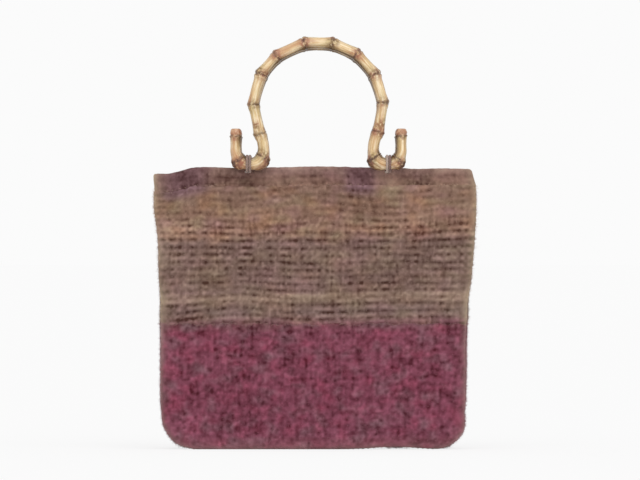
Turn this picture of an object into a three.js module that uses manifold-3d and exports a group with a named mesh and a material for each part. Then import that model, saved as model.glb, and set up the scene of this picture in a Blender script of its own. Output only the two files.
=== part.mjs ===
// Felted wool tote bag with two bamboo handles.
// Two knitted and felted panels are sewn to a gusset strip that runs down one side, under the
// base and up the other side. A doubled band finishes the mouth, and yarn lashings hold the
// hooked ends of each bamboo handle to it, so that each handle swings about its lashings.
// Millimetres, +Z up. The origin is the middle of the base, X runs across the bag, and the
// front faces -Y.

import * as THREE from 'three';
import Module from 'manifold-3d';
import { mergeVertices } from 'three/addons/utils/BufferGeometryUtils.js';

const wasm = await Module();
wasm.setup();

// Felt body
const bagHeight = 283; // base to the top of the band
const bodyWidth = 306; // the straight lower part
const sideFlare = 8; // how far each side leans out on its way up to the band
const flareStart = 105; // height where the sides begin to flare
const flareLength = 130;
const baseDepth = 70; // front to back at the base
const mouthDepth = 59.6; // front to back at the top of the panels
const feltThickness = 6;
const crown = 7; // how far a panel swells out at its middle
const cornerRadiusLeft = 37;
const cornerRadiusRight = 30;
const yarnChangeHeight = 125.5; // burgundy yarn below, brown yarn above
const clearance = 0.3; // between pieces that touch

// Seams between the panels and the gusset
const seamYarnRadius = 0.9;
const seamRecess = 0.15; // how far the yarn lies below the felt's surface
const rimLand = 1; // flat left on a panel's rim between its rounding and the seam groove

// Band round the mouth
const bandHeight = 19.5;
const bandThickness = 6.7;
const bandProud = 0.5; // the band stands out this far from the panels
const bandTaper = 3; // how far the band's top edge draws in at each end
const bandEdgeRound = 2.2;
const bandOuterCorner = 4;
const bandInnerCorner = 3;

// Bamboo handles
const archRadius = 64.6;
const waistInset = 9.6; // how far the neck draws in from the arch on each side
const neckRadius = 38.5; // the reverse curve between the arch and the hook
const hookRadius = 13.85;
const tipHeight = 35.2; // top of the upturned tip above the swing axis
const archRodRadius = 6;
const neckRodRadius = 5.3;
const hookRodRadius = 6.2;
const tipRodRadius = 5.2;
const tipRound = 3;
const nodeSpacing = 27.3; // between the raised rings of the cane
const firstNode = 12.8; // from the top of the arch to the nearest ring
const nodeRise = 0.6;
const nodeHalfWidth = 2;
const handleShift = 4; // the handles sit a little right of centre
const handleDrop = 3.5; // the hooks reach this far below the band's top edge
const handleGap = 0.4; // between a hook and the band's face

// Yarn lashings
const strandRadius = 1.1;
const strandGap = 0.6; // between neighbouring turns
const lashingSlack = 0.8; // between the strand and the cane inside it
const slotClearance = 0.5; // round the strand where it passes through the band
const lashingTurns = 2;
const lashingShift = 1.2; // from the hook's lowest point towards its tip

const leftSide = -1;
const rightSide = 1;
const front = -1;
const back = 1;

// Sizes that follow from the ones above
const bandFoot = bagHeight - bandHeight;
const panelTop = bandFoot - clearance;
const bandOut = mouthDepth / 2 + bandProud;
const bandIn = bandOut - bandThickness;
const waistHalf = archRadius - waistInset;
const hookCentre = waistHalf + hookRadius;
const swingHeight = bagHeight - handleDrop + hookRodRadius;
const swingOut = bandOut + handleGap + hookRodRadius;
const seamStep = (seamYarnRadius + clearance) * Math.SQRT2;
const seamInset = seamYarnRadius + seamRecess;
const grooveDepth = seamInset + seamStep - clearance / 2;
const rimRound = feltThickness - grooveDepth - rimLand;

const felt = (color) => new THREE.MeshStandardMaterial({ color, roughness: 0.95, metalness: 0 });
const burgundyFelt = felt(0x76414e);
const brownFelt = felt(0x80675c);
const bandFelt = felt(0x6f5350);
const seamYarn = felt(0x8c6f62);
const lashingYarn = felt(0x6b4b50);
const bamboo = new THREE.MeshStandardMaterial({ color: 0xc99f63, roughness: 0.4, metalness: 0 });

// A closed geometry from shared points and triangles, turned so that its faces point out
function solid(points, faces) {
  let volume = 0;
  for (const [a, b, c] of faces) {
    volume += points[a].dot(points[b].clone().cross(points[c]));
  }
  const turned = volume < 0 ? faces.map(([a, b, c]) => [a, c, b]) : faces;
  const geometry = new THREE.BufferGeometry().setFromPoints(points);
  geometry.setIndex(turned.flat());
  return geometry;
}

// A plate between two grids of points, each a list of rows of equal length
function plate(outer, inner) {
  const rows = outer.length;
  const columns = outer[0].length;
  const points = [...outer.flat(), ...inner.flat()];
  const at = (layer, row, column) => (layer * rows + row) * columns + column;
  const faces = [];
  const quad = (a, b, c, d) => faces.push([a, b, c], [a, c, d]);
  for (let i = 0; i + 1 < rows; i++) {
    for (let j = 0; j + 1 < columns; j++) {
      quad(at(0, i, j), at(0, i, j + 1), at(0, i + 1, j + 1), at(0, i + 1, j));
      quad(at(1, i, j), at(1, i + 1, j), at(1, i + 1, j + 1), at(1, i, j + 1));
    }
    quad(at(0, i, 0), at(0, i + 1, 0), at(1, i + 1, 0), at(1, i, 0));
    const last = columns - 1;
    quad(at(0, i + 1, last), at(0, i, last), at(1, i, last), at(1, i + 1, last));
  }
  for (let j = 0; j + 1 < columns; j++) {
    quad(at(0, 0, j + 1), at(0, 0, j), at(1, 0, j), at(1, 0, j + 1));
    const last = rows - 1;
    quad(at(0, last, j), at(0, last, j + 1), at(1, last, j + 1), at(1, last, j));
  }
  return solid(points, faces);
}

// A strip or tube through rings of points, closed on itself or capped at both ends
function loft(rings, closed) {
  const count = rings[0].length;
  const points = rings.flat();
  const faces = [];
  const last = closed ? rings.length : rings.length - 1;
  for (let i = 0; i < last; i++) {
    const here = i * count;
    const next = ((i + 1) % rings.length) * count;
    for (let j = 0; j < count; j++) {
      const k = (j + 1) % count;
      faces.push([here + j, here + k, next + k], [here + j, next + k, next + j]);
    }
  }
  if (!closed) {
    const end = (rings.length - 1) * count;
    for (let j = 1; j + 1 < count; j++) {
      faces.push([0, j + 1, j], [end, end + j, end + j + 1]);
    }
  }
  return solid(points, faces);
}

// A round tube along a path; `across` is a direction that the path never runs along
function tube(path, radii, sides, across) {
  const rings = path.map((point, i) => {
    const before = path[Math.max(i - 1, 0)];
    const after = path[Math.min(i + 1, path.length - 1)];
    const along = after.clone().sub(before).normalize();
    const u = across.clone().addScaledVector(along, -across.dot(along)).normalize();
    const v = along.clone().cross(u);
    return Array.from({ length: sides }, (_, j) => {
      const turn = (2 * Math.PI * (j + 0.5)) / sides;
      return point
        .clone()
        .addScaledVector(u, radii[i] * Math.cos(turn))
        .addScaledVector(v, radii[i] * Math.sin(turn));
    });
  });
  return loft(rings, false);
}

const smoothstep = (t) => t * t * (3 - 2 * t);
const mix = (a, b, t) => a + (b - a) * t;

// Points on an arc in a plane, as [across, up] pairs; angles run from +across towards +up
function arc(centre, radius, from, to, steps) {
  return Array.from({ length: steps + 1 }, (_, i) => {
    const angle = mix(from, to, i / steps);
    return [centre[0] + radius * Math.cos(angle), centre[1] + radius * Math.sin(angle)];
  });
}

// The bag's outline seen from the front: the side edges and the rounded bottom corners
function halfWidth(z) {
  const flare = THREE.MathUtils.clamp((z - flareStart) / flareLength, 0, 1);
  return bodyWidth / 2 + sideFlare * smoothstep(flare);
}

const cornerRadius = (side) => (side === leftSide ? cornerRadiusLeft : cornerRadiusRight);
const cornerCentre = (side) => side * (bodyWidth / 2 - cornerRadius(side));

function edgeX(side, z) {
  const radius = cornerRadius(side);
  if (z >= radius) return side * halfWidth(z);
  return cornerCentre(side) + side * Math.sqrt(radius ** 2 - (radius - z) ** 2);
}

// The direction from the outline into the bag, as an [x, z] pair
function inward(side, z) {
  const radius = cornerRadius(side);
  if (z >= radius) return [-side, 0];
  return [(cornerCentre(side) - edgeX(side, z)) / radius, (radius - z) / radius];
}

function rimDistance(x, z) {
  const side = x < 0 ? leftSide : rightSide;
  const radius = cornerRadius(side);
  if (z < radius && side * (x - cornerCentre(side)) > 0) {
    return Math.max(radius - Math.hypot(x - cornerCentre(side), z - radius), 0);
  }
  return Math.min(z, side * (edgeX(side, z) - x));
}

// Heights at which the outline has points
const cornerLevels = [30, 45, 60, 75, 90].map(
  (degrees) =>
    Math.max(cornerRadiusLeft, cornerRadiusRight) * (1 - Math.cos((degrees * Math.PI) / 180)),
);
const between = (from, to, parts) =>
  Array.from({ length: parts + 1 }, (_, i) => mix(from, to, i / parts));
const lowerLevels = [
  0,
  0.3 * grooveDepth,
  grooveDepth,
  ...cornerLevels.slice(0, -1),
  ...between(cornerLevels.at(-1), yarnChangeHeight - clearance / 2, 3),
];
const upperLevels = between(yarnChangeHeight + clearance / 2, panelTop, 5);

// Half of the bag's depth at the panels' rims
const rimOut = (z) => mix(baseDepth, mouthDepth, z / panelTop) / 2;

// The middle of the gap between a panel and the gusset
const seamOut = (z) => rimOut(z) - feltThickness - clearance / 2;

// Felt panels: crowned plates with a rounded outer rim and a groove for the seam yarn
function swell(x, z) {
  const acrossShare = 1 - (x / halfWidth(z)) ** 2;
  return crown * Math.max(acrossShare, 0) * Math.sin((Math.PI * z) / panelTop);
}

function panel(face, levels) {
  const insets = [0, 0.3 * grooveDepth, grooveDepth];
  const shares = [0.12, 0.31, 0.5, 0.69, 0.88];
  const outer = [];
  const inner = [];
  for (const z of levels) {
    const left = edgeX(leftSide, z);
    const right = edgeX(rightSide, z);
    const columns = [
      ...insets.map((inset) => left + inset),
      ...shares.map((share) => mix(left + grooveDepth, right - grooveDepth, share)),
      ...insets.map((inset) => right - inset).reverse(),
    ];
    const rowOut = [];
    const rowIn = [];
    for (const x of columns) {
      const reach = rimDistance(x, z);
      const short = Math.max(rimRound - reach, 0);
      const rounding = rimRound - Math.sqrt(rimRound ** 2 - short ** 2);
      const groove = Math.max(grooveDepth - reach, 0);
      const surface = rimOut(z) + swell(x, z);
      rowOut.push(new THREE.Vector3(x, face * (surface - rounding), z));
      rowIn.push(new THREE.Vector3(x, face * (surface - feltThickness + groove), z));
    }
    outer.push(rowOut);
    inner.push(rowIn);
  }
  return plate(outer, inner);
}

// Gusset: a strip that follows the outline between the two panels
function gussetRing(x, z, [inX, inZ]) {
  const half = seamOut(z) - clearance / 2;
  const section = [
    [-half, feltThickness],
    [-half, grooveDepth],
    [-half + grooveDepth, 0],
    [half - grooveDepth, 0],
    [half, grooveDepth],
    [half, feltThickness],
  ];
  return section.map(([y, depth]) => new THREE.Vector3(x + inX * depth, y, z + inZ * depth));
}

const sideRings = (side, levels) =>
  levels.map((z) => gussetRing(edgeX(side, z), z, inward(side, z)));

const bottomX = [0.25, 0.5, 0.75].map((share) =>
  mix(cornerCentre(leftSide), cornerCentre(rightSide), share),
);

function lowerGusset() {
  const left = sideRings(leftSide, lowerLevels).reverse();
  const bottom = bottomX.map((x) => gussetRing(x, 0, [0, 1]));
  return loft([...left, ...bottom, ...sideRings(rightSide, lowerLevels)], false);
}

// Seam yarn: one strand in the groove between a panel and the gusset, round the whole outline
function seam(face) {
  const levels = [...lowerLevels, ...upperLevels];
  const along = (side) =>
    levels.map((z) => {
      const [inX, inZ] = inward(side, z);
      const x = edgeX(side, z) + inX * seamInset;
      return new THREE.Vector3(x, face * seamOut(z), z + inZ * seamInset);
    });
  const bottom = bottomX.map((x) => new THREE.Vector3(x, face * seamOut(0), seamInset));
  const path = [...along(leftSide).reverse(), ...bottom, ...along(rightSide)];
  const radii = path.map(() => seamYarnRadius);
  return tube(path, radii, 6, new THREE.Vector3(0, 1, 0));
}

// Band: a doubled ring of felt with a rounded top edge
function bandPoint(corner, angle, share, z) {
  const taper = (bandTaper * (z - bandFoot)) / bandHeight;
  const reach = halfWidth(bandFoot) + bandProud - taper;
  const point = (halfX, halfY, radius) => [
    corner[0] * (halfX - radius) + radius * Math.cos(angle),
    corner[1] * (halfY - radius) + radius * Math.sin(angle),
  ];
  const [outX, outY] = point(reach, bandOut, bandOuterCorner);
  const [inX, inY] = point(reach - bandThickness, bandIn, bandInnerCorner);
  return new THREE.Vector3(mix(outX, inX, share), mix(outY, inY, share), z);
}

function band() {
  const corners = [
    [1, 1],
    [-1, 1],
    [-1, -1],
    [1, -1],
  ];
  const round = bandEdgeRound / bandThickness;
  const section = [
    [0, bandFoot],
    [0, bagHeight - bandEdgeRound],
    [0.3 * round, bagHeight - 0.3 * bandEdgeRound],
    [round, bagHeight],
    [1 - round, bagHeight],
    [1 - 0.3 * round, bagHeight - 0.3 * bandEdgeRound],
    [1, bagHeight - bandEdgeRound],
    [1, bandFoot],
  ];
  const rings = [];
  corners.forEach((corner, quarter) => {
    for (let i = 0; i <= 4; i++) {
      const angle = ((quarter + i / 4) * Math.PI) / 2;
      rings.push(section.map(([share, z]) => bandPoint(corner, angle, share, z)));
    }
  });
  return loft(rings, true);
}

// Lashings: yarn wound round the hook and through a slot in the band
const strandPitch = 2 * strandRadius + strandGap;
const lashingRadius = hookRodRadius + lashingSlack + strandRadius;
const slotHeight = swingHeight - lashingRadius;

// One turn as [out, up] points, from the slot out under the cane, round it and back to the slot
function lashingTurn() {
  const bend = strandRadius + slotClearance;
  const edge = [bandIn + bandEdgeRound, bagHeight - bandEdgeRound];
  const edgeReach = bandEdgeRound + clearance + strandRadius;
  const rise = swingHeight - edge[1];
  const run = swingOut - edge[0];
  const pinch = Math.asin((lashingRadius - edgeReach) / Math.hypot(rise, run));
  const over = Math.atan2(rise, run) + Math.PI / 2 + pinch;
  const slotIn = edge[0] - edgeReach + bend;
  return {
    inSlot: [
      [slotIn, slotHeight],
      [bandOut, slotHeight],
    ],
    round: arc([swingOut, swingHeight], lashingRadius, -Math.PI / 2, over, 12),
    behind: [
      ...arc(edge, edgeReach, over, Math.PI, 3),
      ...arc([slotIn, slotHeight + bend], bend, Math.PI, 1.5 * Math.PI, 4).slice(0, -1),
    ],
  };
}

// The strand moves half a pitch sideways under the cane and half a pitch behind the band
function lashingPath(face) {
  const turn = lashingTurn();
  const path = [];
  const add = (lane, [out, up]) => {
    const x = (lane - lashingTurns / 2) * strandPitch;
    path.push(new THREE.Vector3(x, face * out, up));
  };
  const behindStart = turn.round.at(-1);
  const lengths = [0];
  [behindStart, ...turn.behind, turn.inSlot[0]].forEach((point, i, all) => {
    if (i > 0) {
      const step = Math.hypot(point[0] - all[i - 1][0], point[1] - all[i - 1][1]);
      lengths.push(lengths.at(-1) + step);
    }
  });
  const middle = [bandOut - bandThickness / 2, slotHeight];
  for (let i = 0; i < lashingTurns; i++) {
    if (i === 0) add(0, middle);
    else add(i, turn.inSlot[0]);
    add(i, turn.inSlot[1]);
    turn.round.forEach((point) => add(i + 0.5, point));
    turn.behind.forEach((point, j) => {
      add(i + 0.5 + (0.5 * lengths[j + 1]) / lengths.at(-1), point);
    });
  }
  add(lashingTurns, turn.inSlot[0]);
  add(lashingTurns, middle);
  return path;
}

// The least gap from a strand to itself, leaving out stretches that follow on each other
function leastGap(path, radius) {
  const places = [0];
  for (let i = 1; i < path.length; i++) {
    places.push(places[i - 1] + path[i].distanceTo(path[i - 1]));
  }
  let least = Infinity;
  const nearest = new THREE.Vector3();
  for (let i = 0; i < path.length; i++) {
    for (let j = 0; j + 1 < path.length; j++) {
      const apart = Math.min(Math.abs(places[i] - places[j]), Math.abs(places[i] - places[j + 1]));
      if (apart < 8 * radius) continue;
      new THREE.Line3(path[j], path[j + 1]).closestPointToPoint(path[i], true, nearest);
      least = Math.min(least, path[i].distanceTo(nearest) - 2 * radius);
    }
  }
  return least;
}

function lashing(face) {
  const path = lashingPath(face);
  const gap = leastGap(path, strandRadius);
  console.log(`least gap of a lashing to itself: ${gap.toFixed(2)} mm`);
  return tube(path, path.map(() => strandRadius), 6, new THREE.Vector3(1, 0, 0));
}

// The band with a slot for each lashing
function toManifold(geometry) {
  const bare = geometry.clone();
  bare.deleteAttribute('normal');
  bare.deleteAttribute('uv');
  const merged = mergeVertices(bare);
  return new wasm.Manifold(
    new wasm.Mesh({
      numProp: 3,
      vertProperties: new Float32Array(merged.getAttribute('position').array),
      triVerts: new Uint32Array(merged.index.array),
    }),
  );
}

function fromManifold(shape) {
  const mesh = shape.getMesh();
  const geometry = new THREE.BufferGeometry();
  geometry.setAttribute('position', new THREE.BufferAttribute(mesh.vertProperties, 3));
  geometry.setIndex(new THREE.BufferAttribute(mesh.triVerts, 1));
  return geometry;
}

const lashingX = (side) => handleShift + side * (hookCentre + lashingShift);

function slottedBand() {
  const slotWidth = lashingTurns * strandPitch + 2 * (strandRadius + slotClearance);
  const slotTall = 2 * (strandRadius + slotClearance);
  let shape = toManifold(band());
  for (const face of [front, back]) {
    for (const side of [leftSide, rightSide]) {
      const slot = new THREE.BoxGeometry(slotWidth, 2 * bandThickness, slotTall);
      slot.translate(lashingX(side), face * (bandOut - bandThickness / 2), slotHeight);
      shape = shape.subtract(toManifold(slot));
    }
  }
  return fromManifold(shape);
}

// Bamboo handles: a cane bent into a horseshoe, with both ends turned up in hooks.
// The cane's middle line is given by the length from the top of the arch; up is measured from
// the swing axis, which runs through the cane where the hooks are lowest.
const archRise = Math.sqrt((archRadius + neckRadius) ** 2 - (waistHalf + neckRadius) ** 2);
const neckTurn = Math.asin(archRise / (archRadius + neckRadius));
const archLength = archRadius * (Math.PI / 2 + neckTurn);
const neckEnd = archLength + neckRadius * neckTurn;
const hookEnd = neckEnd + hookRadius * Math.PI;
const tipEnd = hookEnd + tipHeight - hookRadius;

function canePoint(length) {
  if (length < archLength) {
    const turn = length / archRadius;
    return [archRadius * Math.sin(turn), hookRadius + archRise + archRadius * Math.cos(turn)];
  }
  if (length < neckEnd) {
    const turn = (neckEnd - length) / neckRadius;
    const centre = waistHalf + neckRadius;
    return [centre - neckRadius * Math.cos(turn), hookRadius + neckRadius * Math.sin(turn)];
  }
  if (length < hookEnd) {
    const turn = (length - neckEnd) / hookRadius;
    return [hookCentre - hookRadius * Math.cos(turn), hookRadius * (1 - Math.sin(turn))];
  }
  return [hookCentre + hookRadius, hookRadius + length - hookEnd];
}

function caneRadius(length) {
  const hookBottom = neckEnd + (hookRadius * Math.PI) / 2;
  const stretches = [
    [0, archLength, archRodRadius, neckRodRadius],
    [archLength, hookBottom, neckRodRadius, hookRodRadius],
    [hookBottom, tipEnd, hookRodRadius, tipRodRadius],
  ];
  const [from, to, start, end] = stretches.find((stretch) => length <= stretch[1] + 1e-6);
  return mix(start, end, smoothstep((length - from) / (to - from)));
}

function handle() {
  const stations = [];
  const add = (length, rise) => stations.push({ length, radius: caneRadius(length) + rise });
  let from = 0;
  for (let ring = firstNode; ring < tipEnd - tipRound - nodeHalfWidth; ring += nodeSpacing) {
    const to = ring - nodeHalfWidth;
    const parts = (from + to) / 2 > archLength ? 6 : 3;
    between(from, to, parts).slice(1).forEach((length) => add(length, 0));
    add(ring, nodeRise);
    add(ring + nodeHalfWidth, 0);
    from = ring + nodeHalfWidth;
  }
  add(tipEnd - tipRound, 0);
  for (const degrees of [35, 65]) {
    const turn = (degrees * Math.PI) / 180;
    add(tipEnd - tipRound * (1 - Math.sin(turn)), -tipRound * (1 - Math.cos(turn)));
  }
  add(tipEnd, -0.9 * tipRound);
  const path = [];
  const radii = [];
  const place = (side, { length, radius }) => {
    const [x, up] = canePoint(length);
    path.push(new THREE.Vector3(side * x, 0, up));
    radii.push(radius);
  };
  [...stations].reverse().forEach((station) => place(leftSide, station));
  place(rightSide, { length: 0, radius: caneRadius(0) });
  stations.forEach((station) => place(rightSide, station));
  return tube(path, radii, 12, new THREE.Vector3(0, 1, 0));
}

const bag = new THREE.Group();

function addPiece(name, geometry, material, x = 0, y = 0, z = 0) {
  geometry.computeVertexNormals();
  const mesh = new THREE.Mesh(geometry, material);
  mesh.name = name;
  mesh.position.set(x, y, z);
  bag.add(mesh);
}

addPiece('gusset_lower', lowerGusset(), burgundyFelt);
addPiece('gusset_left_upper', loft(sideRings(leftSide, upperLevels), false), brownFelt);
addPiece('gusset_right_upper', loft(sideRings(rightSide, upperLevels), false), brownFelt);
addPiece('mouth_band', slottedBand(), bandFelt);

for (const [face, word] of [
  [front, 'front'],
  [back, 'back'],
]) {
  addPiece(`${word}_panel_lower`, panel(face, lowerLevels), burgundyFelt);
  addPiece(`${word}_panel_upper`, panel(face, upperLevels), brownFelt);
  addPiece(`seam_yarn_${word}`, seam(face), seamYarn);
  addPiece(`bamboo_handle_${word}`, handle(), bamboo, handleShift, face * swingOut, swingHeight);
  addPiece(`lashing_${word}_left`, lashing(face), lashingYarn, lashingX(leftSide));
  addPiece(`lashing_${word}_right`, lashing(face), lashingYarn, lashingX(rightSide));
}

export default bag;
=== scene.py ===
# Felted wool tote bag with two bamboo handles, front towards -Y and standing on the floor.
import math

import bpy
import numpy as np
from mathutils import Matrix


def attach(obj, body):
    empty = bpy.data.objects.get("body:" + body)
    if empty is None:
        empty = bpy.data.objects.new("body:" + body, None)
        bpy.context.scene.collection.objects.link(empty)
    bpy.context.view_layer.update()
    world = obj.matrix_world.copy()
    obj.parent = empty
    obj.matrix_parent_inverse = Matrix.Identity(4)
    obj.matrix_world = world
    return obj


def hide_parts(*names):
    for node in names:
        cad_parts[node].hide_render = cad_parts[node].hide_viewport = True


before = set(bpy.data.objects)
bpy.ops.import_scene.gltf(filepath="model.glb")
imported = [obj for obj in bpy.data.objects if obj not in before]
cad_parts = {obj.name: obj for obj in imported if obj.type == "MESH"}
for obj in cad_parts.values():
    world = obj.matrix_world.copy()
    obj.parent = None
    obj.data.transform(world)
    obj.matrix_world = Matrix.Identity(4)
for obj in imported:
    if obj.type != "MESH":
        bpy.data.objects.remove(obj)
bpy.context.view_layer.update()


# Camera
# The bag is seen square on to its front through a long lens, level with the middle of the
# picture. At the front face one pixel of a picture 640 wide is then 1 mm.
MM = 0.001
camera_distance = 8.0
camera_across = 5.5
camera_height = 209.5
front_face = 37
sensor_width = 36.0
picture_width = 640 * MM
scene = bpy.context.scene


def put_in_scene(name, data):
    thing = bpy.data.objects.new(name, data)
    scene.collection.objects.link(thing)
    return thing


camera_data = bpy.data.cameras.new("camera")
camera_data.sensor_width = sensor_width
camera_data.lens = sensor_width * camera_distance / picture_width
camera_data.clip_end = 100
camera = put_in_scene("camera", camera_data)
camera.location = (camera_across * MM, -camera_distance - front_face * MM, camera_height * MM)
camera.rotation_euler = (math.pi / 2, 0, 0)
scene.camera = camera


# Floor and light
# A white studio sweep in soft daylight: even light from all round, and a large soft lamp above
# and in front of the bag, a little to the right. The floor keeps the bag's faint shadow.
daylight_strength = 0.66
lamp_strength = 1.25
lamp_width = math.radians(70)
lamp_height = math.radians(48)
lamp_to_right = math.radians(8)
sweep_white = "#FBFBFB"
paper_white = "#FDFDFD"
floor_glow = 0.8
floor_half = 60.0


def linear(hex_colour):
    channels = [int(hex_colour[i : i + 2], 16) / 255 for i in (1, 3, 5)]
    return [c / 12.92 if c <= 0.04045 else ((c + 0.055) / 1.055) ** 2.4 for c in channels] + [1.0]


def new_tree(owner):
    """The emptied node tree of a world or a material."""
    owner.use_nodes = True
    owner.node_tree.nodes.clear()
    return owner.node_tree


def add(tree, kind, inputs=None, **settings):
    """Adds a shader node with its settings. An input is a value, the socket that feeds it, or
    a node whose first output feeds it."""
    node = tree.nodes.new("ShaderNode" + kind)
    for name, value in settings.items():
        setattr(node, name, value)
    for name, value in (inputs or {}).items():
        if isinstance(value, bpy.types.Node):
            value = value.outputs[0]
        if isinstance(value, bpy.types.NodeSocket):
            tree.links.new(value, node.inputs[name])
        else:
            node.inputs[name].default_value = value
    return node


scene.view_settings.view_transform = "Standard"

world = bpy.data.worlds.new("daylight")
sky = new_tree(world)
rays = add(sky, "LightPath").outputs
seen = add(sky, "Math", {0: rays["Is Camera Ray"], 1: rays["Is Glossy Ray"]}, operation="MAXIMUM")
light = add(sky, "Background", {"Color": linear("#FFFFFF"), "Strength": daylight_strength})
backdrop = add(sky, "Background", {"Color": linear(sweep_white)})
either = add(sky, "MixShader", {0: seen, 1: light, 2: backdrop})
add(sky, "OutputWorld", {"Surface": either})
scene.world = world

lamp_data = bpy.data.lights.new("soft_lamp", "SUN")
lamp_data.energy = lamp_strength
lamp_data.angle = lamp_width
lamp = put_in_scene("soft_lamp", lamp_data)
lamp.rotation_euler = (math.pi / 2 - lamp_height, 0, lamp_to_right)

floor_mesh = bpy.data.meshes.new("floor")
floor_corners = [(floor_half * i, floor_half * j, 0)
                 for i, j in ((-1, -1), (1, -1), (1, 1), (-1, 1))]
floor_mesh.from_pydata(floor_corners, [], [(0, 1, 2, 3)])
floor = put_in_scene("floor", floor_mesh)
paper = bpy.data.materials.new("matt_paper")
tree = new_tree(paper)
sheet = add(tree, "BsdfPrincipled",
            {"Base Color": linear(paper_white), "Roughness": 1.0, "Specular IOR Level": 0.0})
glow = add(tree, "Emission", {"Color": linear(sweep_white)})
camera_ray = add(tree, "LightPath").outputs["Is Camera Ray"]
glow_share = add(tree, "Math", {0: camera_ray, 1: floor_glow}, operation="MULTIPLY")
lit_paper = add(tree, "MixShader", {0: glow_share, 1: sheet, 2: glow})
add(tree, "OutputMaterial", {"Surface": lit_paper})
floor_mesh.materials.append(paper)


# Front and back panels
# Each panel is knitted in wool yarn that changes colour as it goes, burgundy below and brown
# above, and then felted until the rows close up into a soft, hairy cloth about 6 mm thick.
# It has rounded bottom corners, swells out a little, and is sewn to the gusset all round.
LEFT, RIGHT = -1, 1
FRONT, BACK = -1, 1
bag_height = 283.0
straight_half = 153.0
side_flare = 8.0
flare_start = 105.0
flare_length = 130.0
base_depth = 70.0
mouth_depth = 59.6
felt_thickness = 6.0
crown = 7.0
corner_radius = {LEFT: 37.0, RIGHT: 30.0}
yarn_change = 125.5
panel_top = 263.2
rim_radius = 5.5
rim_curl = 1.8
curl_reach = 1.5
row_pitch = 7.0
row_slope = 0.0125
stitch_pitch = 6.5
loop_size = 3.4
grid_step = 1.05
relief_depth = 0.2
relief_fade = 7.0
sharp_edge = math.radians(70)
under_band = 1.4
near_rim = np.array([0, 0.15, 0.6, 1.3, 2.3, 3.5, 4.7])


def smooth(t):
    t = np.clip(t, 0, 1)
    return t * t * (3 - 2 * t)


def ramp(place, start, run):
    """Rises smoothly from 0 at start to 1 a run further on."""
    return smooth((place - start) / run)


def hill(place, middle, reach, power=2):
    """A soft hill of height 1; the higher the power, the flatter its top."""
    return np.exp(-(((place - middle) / reach) ** power))


def hills(place, rises, power=2):
    """Several hills together, each given by its rise, middle and reach."""
    return sum(rise * hill(place, middle, reach, power) for rise, middle, reach in rises)


def unit(vectors):
    return vectors / np.maximum(np.linalg.norm(vectors, axis=-1, keepdims=True), 1e-9)


def noise(u, v, seed):
    """A smooth random height from -1 to 1 over a plane, with one hill or hollow to a unit."""
    heights = np.random.default_rng(seed).uniform(-1, 1, (256, 256))
    i, j = np.floor(u).astype(int), np.floor(v).astype(int)
    s, t = smooth(u - i), smooth(v - j)

    def corner(di, dj):
        return heights[(i + di) % 256, (j + dj) % 256]

    low = corner(0, 0) * (1 - s) + corner(1, 0) * s
    high = corner(0, 1) * (1 - s) + corner(1, 1) * s
    return low * (1 - t) + high * t


def half_width(z):
    return straight_half + side_flare * ramp(z, flare_start, flare_length)


def corner_centre(side):
    return side * (straight_half - corner_radius[side])


def edge_x(side, z):
    radius = corner_radius[side]
    below = np.clip(radius - z, 0, radius)
    rounded = corner_centre(side) + side * np.sqrt(radius**2 - below**2)
    return np.where(z < radius, rounded, side * half_width(z))


def rim_distance(x, z):
    """How far a point of the panel is from its outline, and which way leads inwards."""
    side = np.where(x < 0, LEFT, RIGHT)
    radius = np.where(x < 0, corner_radius[LEFT], corner_radius[RIGHT])
    out_x, out_z = x - side * (straight_half - radius), z - radius
    reach = np.hypot(out_x, out_z)
    in_corner = (out_z < 0) & (side * out_x > 0)
    to_side = side * (np.where(x < 0, edge_x(LEFT, z), edge_x(RIGHT, z)) - x)
    distance = np.where(in_corner, radius - reach, np.minimum(to_side, z))
    reach = np.maximum(reach, 1e-6)
    in_x = np.where(in_corner, -out_x / reach, np.where(to_side < z, -side, 0))
    in_z = np.where(in_corner, -out_z / reach, np.where(to_side < z, 0, 1))
    return np.maximum(distance, 0), in_x, in_z


def rounded_rim(distance, radius):
    """How far a rounded rim falls back at a distance from the edge."""
    short = np.maximum(radius - distance, 0)
    return radius - np.sqrt(np.maximum(radius**2 - short**2, 0))


def rim_out(z):
    return (base_depth + (mouth_depth - base_depth) * z / panel_top) / 2


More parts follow.
